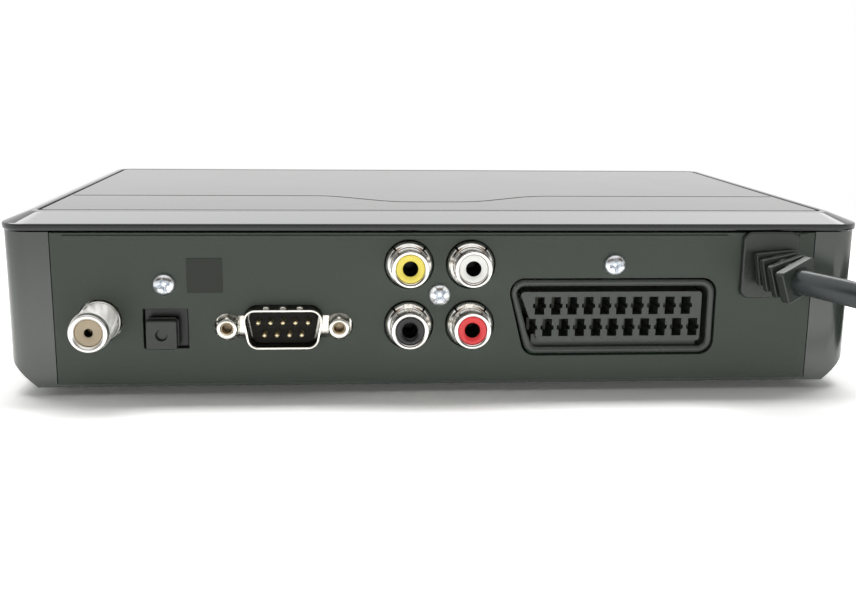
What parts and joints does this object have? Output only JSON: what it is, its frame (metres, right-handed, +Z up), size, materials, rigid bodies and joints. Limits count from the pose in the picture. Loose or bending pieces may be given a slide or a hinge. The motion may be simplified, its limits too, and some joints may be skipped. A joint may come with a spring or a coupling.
{
  "type": "satellite tv receiver",
  "caption": "Flat set-top receiver, rear side detailed: aerial screw connector, optical and serial sockets, colour-coded jacks, wide multi-pin socket and captive mains lead.",
  "frame": {"origin": "on the resting plane, under the middle of the case taken together with its aerial connector", "axes": "+Y towards the rear side with the connectors, +Z up, +X to the right as seen from the front"},
  "size_m": [0.3205, 0.1572, 0.0411],
  "materials": {
    "body_plastic": "fine grained, dark charcoal",
    "cover_plastic": "gloss bevel, satin top field",
    "rubber": "matte",
    "socket_plastic": "satin",
    "black_plastic": "satin",
    "yellow_plastic": "gloss",
    "white_plastic": "gloss",
    "jack_black_plastic": "gloss",
    "red_plastic": "gloss",
    "beige_plastic": "satin",
    "nickel": "polished",
    "tin": "satin",
    "zinc": "satin",
    "gold": "satin",
    "aluminium": "satin",
    "board_resin": "satin lacquer",
    "chip_resin": "matte",
    "ferrite": "matte",
    "winding_tape": "satin tape",
    "capacitor_sleeve": "gloss",
    "copper": "lacquered wire",
    "clear_glass": "clear",
    "window_plastic": "dark smoked",
    "light_plastic": "diffuse",
    "wire_plastic": "satin",
    "flat_cable_plastic": "satin",
    "label_film": "satin black film, left blank",
    "cable_plastic": "satin"
  },
  "bodies": {
    "case": {"base_shell": "body_plastic", "rubber_feet": "rubber", "top_cover": "cover_plastic", "rear_panel": "body_plastic", "scart_housing": "socket_plastic", "scart_contacts": "tin", "antenna_barrel": "nickel", "antenna_insulator": "beige_plastic", "tuner_can": "tin", "optical_socket": "black_plastic", "optical_emitter": "red_plastic", "serial_shell": "tin", "serial_insulator": "black_plastic", "serial_pins": "gold", "jackscrews": "zinc", "jack_block": "black_plastic", "jack_ring_yellow": "yellow_plastic", "jack_ring_white": "white_plastic", "jack_ring_black": "jack_black_plastic", "jack_ring_red": "red_plastic", "jack_cups": "nickel", "jack_contacts": "tin", "front_fascia": "body_plastic", "display_window": "window_plastic", "front_board": "board_resin", "display_module": "chip_resin", "status_led": "light_plastic", "ir_receiver": "black_plastic", "key_switches": "black_plastic", "main_board": "board_resin", "power_board": "board_resin", "main_chip": "chip_resin", "chip_cooler": "aluminium", "memory_chips": "chip_resin", "board_capacitors": "capacitor_sleeve", "fuse": "clear_glass", "line_choke": "copper", "storage_capacitor": "capacitor_sleeve", "power_cooler": "aluminium", "transformer_core": "ferrite", "transformer_winding": "winding_tape", "output_capacitor": "capacitor_sleeve", "supply_wires": "wire_plastic", "mains_wires": "wire_plastic", "flat_cable": "flat_cable_plastic", "flat_cable_sockets": "white_plastic", "rear_screws": "zinc", "cover_screws": "zinc", "board_screws": "zinc", "rear_sticker": "label_film", "strain_relief": "cable_plastic", "mains_cord": "cable_plastic", "cord_coil": "cable_plastic", "mains_plug": "cable_plastic", "plug_pins": "nickel"},
    "power_key": {"power_button": "cover_plastic"},
    "channel_up_key": {"channel_up_button": "cover_plastic"},
    "channel_down_key": {"channel_down_button": "cover_plastic"},
    "dust_cap": {"dust_plug": "black_plastic"}
  },
  "joints": [
    {"name": "power_press", "type": "slide", "parent": "case", "child": "power_key", "axis": [0, 1, 0], "range_m": [0, 0.0006], "stiffness_N_per_m": 1500, "springref_m": -0.0002},
    {"name": "channel_up_press", "type": "slide", "parent": "case", "child": "channel_up_key", "axis": [0, 1, 0], "range_m": [0, 0.0006], "stiffness_N_per_m": 1500, "springref_m": -0.0002},
    {"name": "channel_down_press", "type": "slide", "parent": "case", "child": "channel_down_key", "axis": [0, 1, 0], "range_m": [0, 0.0006], "stiffness_N_per_m": 1500, "springref_m": -0.0002},
    {"name": "dust_plug_pull", "type": "slide", "parent": "case", "child": "dust_cap", "axis": [0, 1, 0], "range_m": [0, 0.01]}
  ]
}
